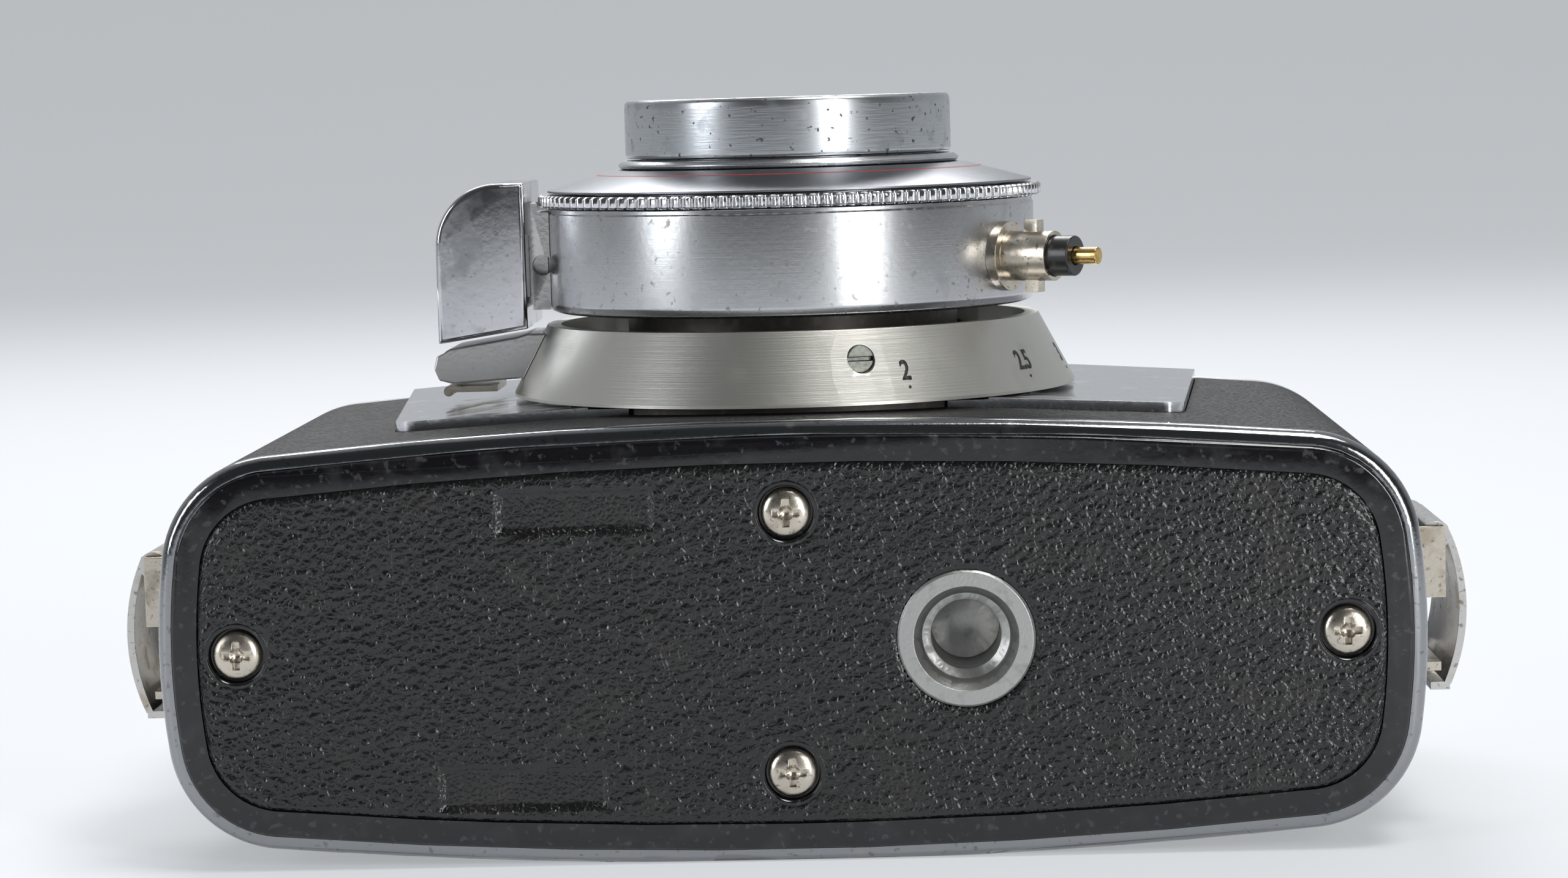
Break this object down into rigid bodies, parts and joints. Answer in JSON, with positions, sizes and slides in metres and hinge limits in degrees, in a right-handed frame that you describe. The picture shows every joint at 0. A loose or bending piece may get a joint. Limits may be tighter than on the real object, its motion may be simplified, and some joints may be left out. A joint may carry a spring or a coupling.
{
  "type": "rangefinder camera",
  "caption": "35 mm rangefinder camera lying on its back: cast body, coupled focusing mount, leaf shutter, film transport, removable back and side latches.",
  "frame": {"origin": "where the lens axis meets the plane that the camera's back rests on", "axes": "+Z along the lens axis, out of the lens; +X along the body, towards the film take-up end; +Y from the base to the top plate"},
  "size_m": [0.124, 0.0728, 0.0688],
  "materials": {
    "polished_rim": "polished",
    "black_lacquer": "gloss lacquer, worn",
    "grained_panel": "embossed grain",
    "machined_metal": "machined",
    "nickel": "nickel plate",
    "cast_alloy": "satin cast",
    "polished_metal": "polished",
    "body_covering": "fine grain",
    "black_paint": "matt",
    "spring_steel": "bright",
    "dark_metal": "oxidised",
    "satin_aluminium": "turned satin",
    "turned_aluminium": "turned",
    "knurled_metal": "knurled",
    "scale_plate": "satin with a red line",
    "coated_glass": "coated",
    "black_plastic": "moulded",
    "brass": "turned",
    "top_metal": "satin",
    "clear_glass": "clear",
    "counter_face": "satin",
    "leaf_steel": "blackened"
  },
  "bodies": {
    "camera_body": {"base_plate": "polished_rim", "base_border": "black_lacquer", "base_grain_panel": "grained_panel", "tripod_bush": "machined_metal", "base_screws": "nickel", "body_casting": "cast_alloy", "film_gate": "polished_metal", "front_covering": "body_covering", "front_plate": "polished_metal", "helicoid_outer": "dark_metal", "top_plate": "top_metal", "finder_housing": "top_metal", "finder_window": "clear_glass", "rangefinder_window": "clear_glass", "eyepiece_ring": "black_paint", "eyepiece_lens": "clear_glass", "beam_splitter": "clear_glass", "rangefinder_pivot": "brass", "right_lug_bracket": "nickel", "left_lug_bracket": "nickel"},
    "back": {"back_cover": "polished_metal", "back_covering": "body_covering", "pressure_plate": "black_paint", "pressure_springs": "spring_steel"},
    "lens_unit": {"helicoid_inner": "dark_metal", "shutter_housing": "turned_aluminium", "faceplate": "scale_plate", "lens_barrel": "turned_aluminium", "lens_retaining_ring": "black_paint", "front_element": "coated_glass", "rear_cell": "black_paint", "rear_element": "coated_glass", "release_bracket": "cast_alloy", "release_housing": "polished_metal", "release_spring": "spring_steel", "flash_post": "nickel", "flash_insulator": "black_plastic", "flash_contact": "brass", "iris_blades": "leaf_steel"},
    "focus": {"focus_ring": "satin_aluminium", "focus_grub_screws": "dark_metal", "focus_lever": "cast_alloy"},
    "catch": {"infinity_catch": "nickel"},
    "speed": {"speed_ring": "knurled_metal"},
    "aperture": {"aperture_ring": "turned_aluminium"},
    "release": {"release_button": "polished_metal"},
    "leaf_1": {"shutter_leaf_1": "leaf_steel"},
    "leaf_2": {"shutter_leaf_2": "leaf_steel"},
    "leaf_3": {"shutter_leaf_3": "leaf_steel"},
    "wind": {"wind_knob": "knurled_metal", "takeup_spool": "black_plastic"},
    "film_sprocket": {"sprocket": "machined_metal"},
    "counter": {"counter_dial": "counter_face"},
    "rewind_lifter": {"rewind_sleeve": "machined_metal"},
    "rewind": {"rewind_knob": "knurled_metal"},
    "right_latch": {"right_latch_bow": "nickel"},
    "left_latch": {"left_latch_bow": "nickel"},
    "range_arm": {"rangefinder_arm": "brass"}
  },
  "joints": [
    {"name": "focus_turn", "type": "hinge", "parent": "camera_body", "child": "focus", "pos_m": [0, 0, 0.0438], "axis": [0, 0, 1], "range_deg": [0, 156]},
    {"name": "lens_extend", "type": "slide", "parent": "camera_body", "child": "lens_unit", "axis": [0, 0, 1], "range_m": [0, 0.0034]},
    {"name": "range_follow", "type": "hinge", "parent": "camera_body", "child": "range_arm", "pos_m": [-0.019, 0.0298, 0.02], "axis": [0, 1, 0], "range_deg": [0, 4]},
    {"name": "catch_press", "type": "slide", "parent": "focus", "child": "catch", "axis": [1, 0, 0], "range_m": [0, 0.001], "stiffness_N_per_m": 200, "springref_m": -0.001},
    {"name": "speed_turn", "type": "hinge", "parent": "lens_unit", "child": "speed", "pos_m": [0, 0, 0.0593], "axis": [0, 0, 1], "range_deg": [0, 120]},
    {"name": "aperture_turn", "type": "hinge", "parent": "lens_unit", "child": "aperture", "pos_m": [0, 0, 0.0626], "axis": [0, 0, 1], "range_deg": [0, 70]},
    {"name": "release_press", "type": "slide", "parent": "lens_unit", "child": "release", "axis": [0, -1, 0], "range_m": [0, 0.003], "stiffness_N_per_m": 120, "springref_m": -0.002, "deforming": ["release_spring"]},
    {"name": "leaf_1_swing", "type": "hinge", "parent": "lens_unit", "child": "leaf_1", "pos_m": [0, 0.0162, 0.0513], "axis": [0, 0, -1], "range_deg": [0, 36]},
    {"name": "leaf_2_swing", "type": "hinge", "parent": "lens_unit", "child": "leaf_2", "pos_m": [-0.01403, -0.0081, 0.05165], "axis": [0, 0, -1], "range_deg": [0, 36]},
    {"name": "leaf_3_swing", "type": "hinge", "parent": "lens_unit", "child": "leaf_3", "pos_m": [0.01403, -0.0081, 0.052], "axis": [0, 0, -1], "range_deg": [0, 36]},
    {"name": "wind_turn", "type": "hinge", "parent": "camera_body", "child": "wind", "pos_m": [0.041, 0, 0.0205], "axis": [0, 1, 0], "continuous": true},
    {"name": "sprocket_turn", "type": "hinge", "parent": "camera_body", "child": "film_sprocket", "pos_m": [0.0248, 0, 0.0132], "axis": [0, 1, 0], "continuous": true},
    {"name": "counter_turn", "type": "hinge", "parent": "camera_body", "child": "counter", "pos_m": [0.0248, 0.0286, 0.0132], "axis": [0, 1, 0], "continuous": true},
    {"name": "rewind_lift", "type": "slide", "parent": "camera_body", "child": "rewind_lifter", "axis": [0, 1, 0], "range_m": [0, 0.006]},
    {"name": "rewind_turn", "type": "hinge", "parent": "rewind_lifter", "child": "rewind", "pos_m": [-0.041, 0, 0.0205], "axis": [0, 1, 0], "continuous": true},
    {"name": "back_pull", "type": "slide", "parent": "camera_body", "child": "back", "axis": [0, 0, -1], "range_m": [0, 0.03]},
    {"name": "right_latch_swing", "type": "hinge", "parent": "camera_body", "child": "right_latch", "pos_m": [0.0593, -0.0145, 0.027], "axis": [0, -1, 0], "range_deg": [0, 45], "stiffness_Nm_per_rad": 0.01, "springref_deg": -11.46},
    {"name": "left_latch_swing", "type": "hinge", "parent": "camera_body", "child": "left_latch", "pos_m": [-0.0593, -0.0145, 0.027], "axis": [0, 1, 0], "range_deg": [0, 45], "stiffness_Nm_per_rad": 0.01, "springref_deg": -11.46}
  ],
  "couplings": [
    {"joint": "focus_turn", "follows": "lens_extend", "rad_per_m": 800},
    {"joint": "range_follow", "follows": "lens_extend", "rad_per_m": 16},
    {"joint": "leaf_1_swing", "follows": "release_press", "rad_per_m": 203},
    {"joint": "leaf_2_swing", "follows": "release_press", "rad_per_m": 203},
    {"joint": "leaf_3_swing", "follows": "release_press", "rad_per_m": 203},
    {"joint": "sprocket_turn", "follows": "wind_turn", "ratio": 1.2},
    {"joint": "counter_turn", "follows": "wind_turn", "ratio": 0.03}
  ]
}
